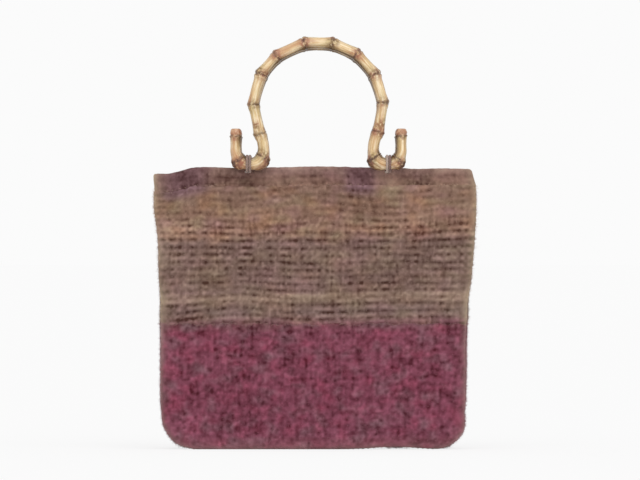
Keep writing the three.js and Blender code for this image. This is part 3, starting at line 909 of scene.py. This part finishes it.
waist_half = arch_radius - waist_inset
hook_centre = waist_half + hook_radius
arch_rise = math.sqrt((arch_radius + neck_radius) ** 2 - (waist_half + neck_radius) ** 2)
neck_turn = math.asin(arch_rise / (arch_radius + neck_radius))
arch_length = arch_radius * (math.pi / 2 + neck_turn)
neck_end = arch_length + neck_radius * neck_turn
hook_bottom = neck_end + hook_radius * math.pi / 2
hook_end = neck_end + hook_radius * math.pi
tip_end = hook_end + tip_height - hook_radius
rod_changes = ((0, arch_length, neck_rod - arch_rod),
               (arch_length, hook_bottom, hook_rod - neck_rod),
               (hook_bottom, tip_end, tip_rod - hook_rod))


def bent_cane(length):
    """The cane's middle line on the right-hand half: (across, up) at a length from the top."""
    if length < arch_length:
        turn = length / arch_radius
        up = hook_radius + arch_rise + arch_radius * math.cos(turn)
        return np.array([arch_radius * math.sin(turn), up])
    if length < hook_end:
        radius = neck_radius if length < neck_end else hook_radius
        turn = (length - neck_end) / radius
        across = waist_half + radius * (1 - math.cos(turn))
        return np.array([across, hook_radius - radius * math.sin(turn)])
    return np.array([hook_centre + hook_radius, hook_radius + length - hook_end])


def cane_line(length):
    """The same line with its stretches between the rings pulled nearly straight."""
    size, side = abs(length), math.copysign(1, length)
    places = ring_places[int(side)]
    before = max((p for p in places if p <= size), default=-places[0])
    after = min((p for p in places if p > size), default=tip_end)
    ends = [bent_cane(abs(p)) * [math.copysign(1, p), 1] for p in (before, after)]
    share = (size - before) / (after - before)
    straight = ends[0] + (ends[1] - ends[0]) * share
    pull = most_straight * (1 - ramp(before, *straight_to))
    across, up = bent_cane(size) * (1 - pull) + straight * pull
    if side == LEFT:
        across += left_spread * ramp(size, *spread_from) * (1 - ramp(size, *spread_to))
    return side * across, up


# Each of these is a rise, where it is and how far it reaches: the swellings of the whole cane,
# then a ring's ridge, groove, collar and broad swelling, its buds, and the knots on the hooks.
swellings = ((0.5, 76, 16), (0.65, 130, 13))
ring_profile = ((0.75, 0, 0.8), (-0.4, 1.7, 0.6), (0.4, 3.4, 1.7), (0.35, 0, 6.5))
bud_rise, bud_place, bud_reach, buds_round = 0.25, 3.2, 1.3, 5
hook_knots = ((3.5, 158.0, 6.3), (2.9, 178.2, 4.6))
neck_stain, neck_stain_place, neck_stain_reach = 1.4, 121.0, 7.5
# how much painted shade the inside of the bend gets, by length along the cane
inner_cane_shade = ((0, 70, 90, 115, 143, 150, 205), (1.15, 1.0, 0.45, 0.15, 0.3, 1.0, 1.1))

cane_lengths = np.linspace(-tip_end, tip_end, round(2 * tip_end / cane_step))
ring_line = np.array([side * place for side in (LEFT, RIGHT) for place in ring_places[side]])


def cane_surface(seed, grain_from):
    """Radii round the cane, and the marks that colour it: how far each point is darkened by a ring,
    how much painted shade lies along the cane's two sides and on the inside of the bend, how near a
    cut end it is, and where it lies in the grain."""
    rng = np.random.default_rng(seed)
    length, turn = cane_lengths[:, None], all_round(cane_sides)
    size, flat = abs(length), 0 * turn
    out_of_bend = np.sin(turn) * np.where(size > arch_length + bend_change, -1, 1)
    from_ring = abs(length - ring_line).min(axis=1, keepdims=True)
    radii = arch_rod + between_rings * smooth(from_ring / ring_half) + flat
    for start, end, change in rod_changes:
        radii += change * ramp(size, start, end - start)
    radii += hills(size, swellings)
    radii += 0.1 * noise(size / 5 + flat, 2 * np.cos(turn), seed)
    rings, lines = np.zeros_like(radii), np.zeros_like(radii)
    for side in (LEFT, RIGHT):
        half = length * side >= 0
        for at, strength in zip(ring_places[side], ring_strength[side]):
            offset = size - at - rng.uniform(-0.5, 0.5) * np.cos(turn + rng.uniform(0, 6.3))
            bud_turn = buds_round * turn + rng.uniform(0, 6)
            buds = bud_rise * hill(offset, bud_place, bud_reach) * np.cos(bud_turn)
            radii += half * (hills(offset, ring_profile) + buds)
            line = rng.uniform(0.7, 1.0) * hill(offset, 0.7, 1.9)
            zone = rng.uniform(0.8, 1.1) * hill(offset, rng.uniform(-2, 2), 6.0)
            lines += half * line * min(1, 0.5 + 0.5 * strength)
            rings += half * zone * strength
        for rise, at, reach in hook_knots:
            knot = hill(size, at, reach, 4) * np.clip(out_of_bend, 0, 1) ** 2.5
            radii += half * rise * knot
            lines += half * 0.85 * knot
            rings += half * knot
    blotch = 0.45 + noise(length / 8 + flat, 1.5 * np.cos(turn + 1), seed + 6)
    stain = hill(size, neck_stain_place, neck_stain_reach) * np.clip(blotch, 0, 1)
    rings += neck_stain * stain
    # painted shade: darker along both sides of the cane, and most on the inside of the bend
    inner_side = np.clip(-out_of_bend, 0, 1) ** 1.6
    cane_shade = 0.3 * abs(np.sin(turn)) ** 4
    cane_shade = cane_shade + np.interp(size, *inner_cane_shade) * inner_side * (1 + 0.6 * rings)
    cane_shade *= 0.8 + 0.6 * noise(length / 17 + flat, 3 * np.cos(turn), seed + 5)
    from_tip = np.clip((tip_end - size) / tip_round, 0, 1)
    radii *= tip_share + (1 - tip_share) * np.sqrt(1 - (1 - from_tip) ** 2)
    tips = 0.75 * ramp(size, ring_places[LEFT][-1] + 0.8, 1.5) + flat
    grain = np.stack([radii * np.cos(turn), radii * np.sin(turn), length + grain_from + flat],
                     axis=-1)
    return radii, {"ring": rings, "line": lines, "tip": tips, "cane_shade": cane_shade, "grain": grain}


def varnished_bamboo():
    """Steamed and varnished bamboo root: straw yellow with a fine grain along the cane, rosy brown
    round its dark rings, redder at its cut ends, satin all over, with painted shade along both
    sides of the cane and on the inside of the bend. Its grain is about 1.6 mm wide, and its shades
    drift over 9 by 22 mm."""
    material = bpy.data.materials.new("varnished_bamboo")
    tree = new_tree(material)
    grain = add(tree, "Attribute", attribute_name="grain").outputs["Vector"]
    ring, line, cane_shade_amount, tip = (add(tree, "Attribute", attribute_name=mark).outputs["Fac"]
                                 for mark in ("ring", "line", "cane_shade", "tip"))
    streaks, drift, speckle = (
        add(tree, "TexNoise", {"Scale": 1, "Detail": detail, "Vector": add(
            tree, "VectorMath", {0: grain, 1: [1 / mm for mm in sizes]}, operation="MULTIPLY")})
        for sizes, detail in (((1.6, 1.6, 30), 4), ((9, 9, 22), 2), ((3, 3, 3), 3)))
    colour = add(tree, "ValToRGB", {"Fac": streaks})
    stops = colour.color_ramp.elements
    stops[0].position, stops[1].position = 0.28, 0.66
    stops.new(0.48)
    for stop, shade in zip(stops, ("#B38A55", "#E6C795", "#FAE8C6")):
        stop.color = linear(shade)
    rosy, green, redder, broken = (
        add(tree, "MapRange", {"Value": source, "From Min": low, "From Max": high, "To Max": most})
        for source, low, high, most in ((drift, 0.5, 0.72, 0.7), (drift, 0.46, 0.3, 0.55),
                                        (drift, 0.42, 0.58, 1), (speckle, 0.3, 0.58, 1)))
    browned, darkened = (
        add(tree, "Math", {0: mark, 1: broken}, operation="MULTIPLY", use_clamp=True)
        for mark in (ring, line))
    ring_brown, cut_end = (
        add(tree, "Mix", {0: amount, 6: linear(one), 7: linear(other)}, data_type="RGBA").outputs[2]
        for amount, one, other in ((redder, "#8A6A3C", "#A5684C"), (broken, "#CFA283", "#A5694A")))
    # the dark brown #674C27 is painted shade along the sides and the inside of the bend
    for amount, shade in ((rosy, linear("#C08C60")), (green, linear("#C9B273")),
                          (browned, ring_brown), (cane_shade_amount, linear("#674C27")),
                          (darkened, linear("#593A27")), (tip, cut_end)):
        colour = add(tree, "Mix", {0: amount, 6: colour, 7: shade}, data_type="RGBA").outputs[2]
    bump = add(tree, "Bump", {"Height": streaks, "Strength": 0.35, "Distance": 0.2 * MM})
    shader = add(tree, "BsdfPrincipled",
                 {"Base Color": colour, "Roughness": 0.42, "Specular IOR Level": 0.4,
                  "Coat Weight": 0.45, "Coat Roughness": 0.3, "Normal": bump})
    add(tree, "OutputMaterial", {"Surface": shader})
    return material


bamboo = varnished_bamboo()
for word, face, seed, grain_from in (("front", FRONT, 301, 0), ("back", BACK, 302, 400)):
    radii, marks = cane_surface(seed, grain_from)
    across, up = np.array([cane_line(s) for s in cane_lengths]).T
    path = np.stack([handle_shift + across, np.full_like(up, face * swing_out), swing_height + up],
                    axis=1)
    surface = tube(path, radii, np.array([0.0, 1.0, 0.0]), cane_sides)
    handle = tubes_piece(f"{word}_bamboo_handle", surface[None], bamboo, marks)
    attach(handle, f"handle_{word}")
    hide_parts(f"bamboo_handle_{word}")


# Lashings
# Two-ply wool yarn in the band's purple brown, wound twice round the bottom of each hook and
# through the band, loose enough for the cane to turn in it.
strand_radius = 1.1
strand_gap = 0.6
lashing_slack = 0.8
slot_clearance = 0.5
lashing_turns = 2
lashing_shift = 1.2
edge_round = 2.2
edge_clear = 0.3
strand_step = 0.6
strand_sides = 14
ply_pitch = 5.5
ply_hollow, ply_rise = 0.8, 0.22
strand_spread = 0.22
strand_pitch = 2 * strand_radius + strand_gap
lashing_radius = hook_rod + lashing_slack + strand_radius
slot_height = swing_height - lashing_radius
band_out = mouth_depth / 2 + band_proud
band_in = band_out - band_thickness
band_middle = band_out - band_thickness / 2


def arc(centre, radius, start, end, steps):
    angles = np.linspace(start, end, steps + 1)
    return [(centre[0] + radius * math.cos(a), centre[1] + radius * math.sin(a)) for a in angles]


def lashing_path(face, middle_x):
    """Out of the band, under the cane, round it, over the band's top edge and back through."""
    bend = strand_radius + slot_clearance
    edge = (band_in + edge_round, bag_height - edge_round)
    reach = edge_round + edge_clear + strand_radius
    rise, run = swing_height - edge[1], swing_out - edge[0]
    pinch = math.asin((lashing_radius - reach) / math.hypot(rise, run))
    over = math.atan2(rise, run) + math.pi / 2 + pinch
    slot_in = edge[0] - reach + bend
    round_cane = arc((swing_out, swing_height), lashing_radius, -math.pi / 2, over, 24)
    behind = arc(edge, reach, over, math.pi, 5)
    behind += arc((slot_in, slot_height + bend), bend, math.pi, 1.5 * math.pi, 6)[:-1]
    so_far = travelled(np.array([round_cane[-1]] + behind + [(slot_in, slot_height)]))
    shares = so_far[1:-1] / so_far[-1]
    path = []
    for i in range(lashing_turns):
        path += [(i, slot_in if i else band_middle, slot_height), (i, band_out, slot_height)]
        path += [(i + 0.5, *point) for point in round_cane]
        path += [(i + 0.5 + 0.5 * share, *point) for share, point in zip(shares, behind)]
    path += [(lashing_turns, slot_in, slot_height), (lashing_turns, band_middle, slot_height)]
    lane, out, up = np.array(path).T
    return np.stack([middle_x + (lane - lashing_turns / 2) * strand_pitch, face * out, up], axis=1)


def evened(path, spacing):
    """The same path with evenly spaced points, and how far along each one is."""
    so_far = travelled(path)
    even = np.linspace(0, so_far[-1], round(so_far[-1] / spacing))
    return np.stack([np.interp(even, so_far, path[:, k]) for k in range(3)], axis=1), even


lashing_wool = wool_yarn("lashing_wool_yarn", "#5E4441", "#95786C", 1.2)
around = all_round(strand_sides)
for word, face in (("front", FRONT), ("back", BACK)):
    for hand, side in (("left", LEFT), ("right", RIGHT)):
        middle = handle_shift + side * (hook_centre + lashing_shift)
        path, length = evened(lashing_path(face, middle), strand_step)
        twist = around - 2 * math.pi * length[:, None] / (2 * ply_pitch)
        radii = strand_radius * (ply_hollow + ply_rise * abs(np.cos(twist)))
        radii *= 1 + strand_spread * np.cos(around) ** 2
        strand = tube(path, radii, np.array([1.0, 0.0, 0.0]), strand_sides)
        # the right lashing's first turn is made paler, the left lashing a little paler all over
        first_turn = 1 - ramp(strand[..., 0], middle - 1, 2)
        pale_share = 0.45 * first_turn if side == RIGHT else 0.15 + 0 * first_turn
        piece = tubes_piece(f"{word}_{hand}_lashing", strand[None], lashing_wool, {"pale_share": pale_share})
        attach(piece, "bag")
        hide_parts(f"lashing_{word}_{hand}")
